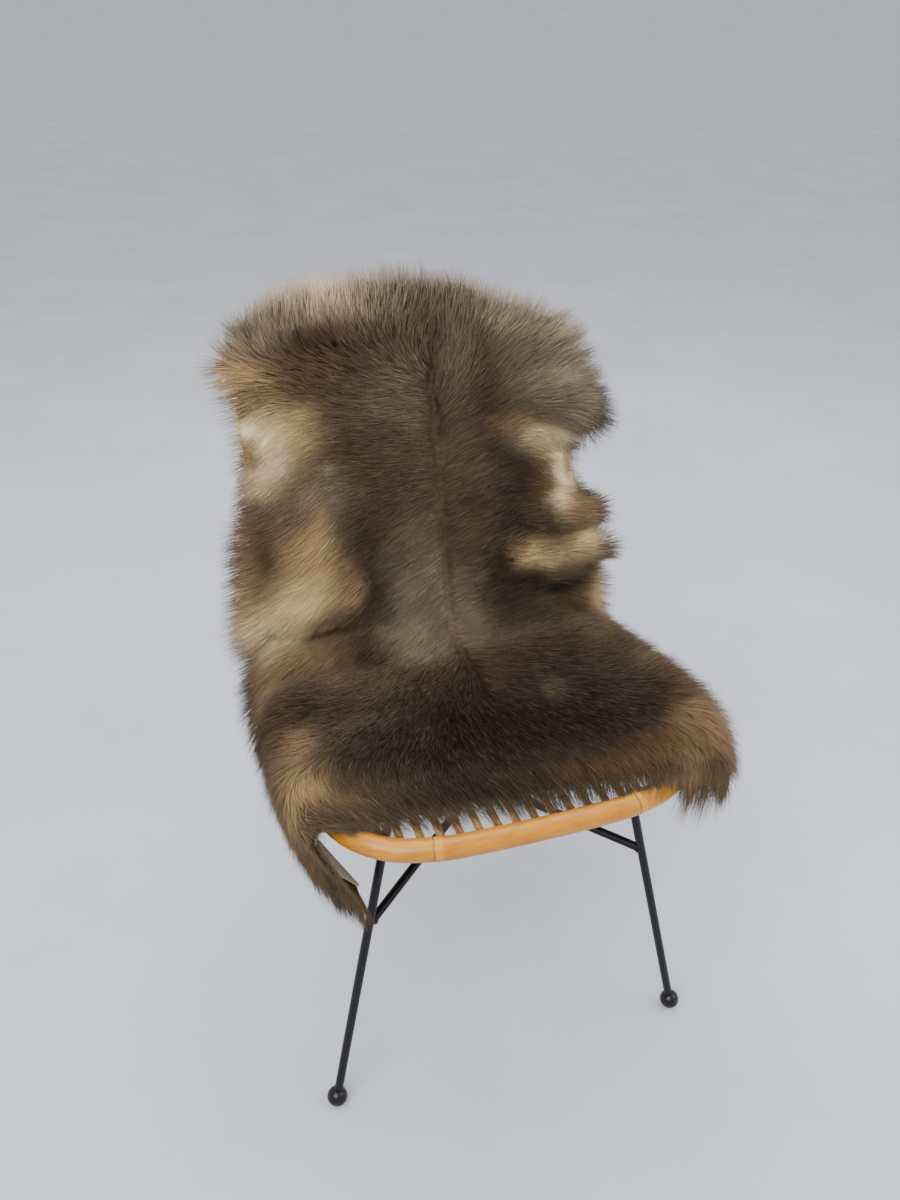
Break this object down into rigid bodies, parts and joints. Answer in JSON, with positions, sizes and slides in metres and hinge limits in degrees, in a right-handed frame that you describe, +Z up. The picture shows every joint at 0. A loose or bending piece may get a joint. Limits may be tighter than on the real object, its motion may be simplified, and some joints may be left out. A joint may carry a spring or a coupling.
{
  "type": "sheepskin rug draped over a rattan side chair",
  "caption": "Whole short-haired hide rug with locks at its rim, draped over the back and seat of a plain rattan side chair on steel rod legs.",
  "frame": {"origin": "floor point under the middle of the whole part's box", "axes": "+Z up, the chair faces -Y, +X to the right seen from the front"},
  "size_m": [0.5632, 0.533, 0.9036],
  "materials": {
    "fleece": "straight short brown-grey hair with tan flanks and a dark stripe down the spine",
    "hide_leather": "pale tanned suede on the flesh side, bare at the cut edge",
    "rattan_pole": "honey lacquered rattan pole with paler node rings",
    "rattan_spindle": "thin peeled rattan, satin",
    "black_steel": "satin black powder coat on round steel rod",
    "black_foot": "moulded black ball foot"
  },
  "bodies": {
    "root": {"hide": "fleece", "locks_front_left": "fleece", "locks_front_right": "fleece", "locks_lobe_left": "fleece", "locks_lobe_right": "fleece", "locks_flap_left": "fleece", "locks_side_left": "fleece", "locks_flank_left": "fleece", "locks_shoulder_left": "fleece", "locks_flap_right": "fleece", "locks_side_right": "fleece", "locks_flank_right": "fleece", "locks_shoulder_right": "fleece", "locks_neck": "fleece", "rim_front": "rattan_pole", "rim_right": "rattan_pole", "rim_rear": "rattan_pole", "rim_left": "rattan_pole", "hoop_right": "rattan_pole", "hoop_left": "rattan_pole", "hoop_crown": "rattan_pole", "seat_spindle_01": "rattan_spindle", "seat_spindle_02": "rattan_spindle", "seat_spindle_03": "rattan_spindle", "seat_spindle_04": "rattan_spindle", "seat_spindle_05": "rattan_spindle", "seat_spindle_06": "rattan_spindle", "seat_spindle_07": "rattan_spindle", "seat_spindle_08": "rattan_spindle", "seat_spindle_09": "rattan_spindle", "seat_spindle_10": "rattan_spindle", "seat_spindle_11": "rattan_spindle", "seat_spindle_12": "rattan_spindle", "seat_spindle_13": "rattan_spindle", "seat_spindle_14": "rattan_spindle", "seat_spindle_15": "rattan_spindle", "seat_spindle_16": "rattan_spindle", "seat_spindle_17": "rattan_spindle", "back_spindle_1": "rattan_spindle", "back_spindle_2": "rattan_spindle", "back_spindle_3": "rattan_spindle", "back_spindle_4": "rattan_spindle", "back_spindle_5": "rattan_spindle", "leg_front_left": "black_steel", "leg_front_right": "black_steel", "leg_rear_left": "black_steel", "leg_rear_right": "black_steel", "crossbar_front": "black_steel", "crossbar_rear": "black_steel", "brace_left": "black_steel", "brace_right": "black_steel", "foot_front_left": "black_foot", "foot_front_right": "black_foot", "foot_rear_left": "black_foot", "foot_rear_right": "black_foot"}
  },
  "joints": []
}
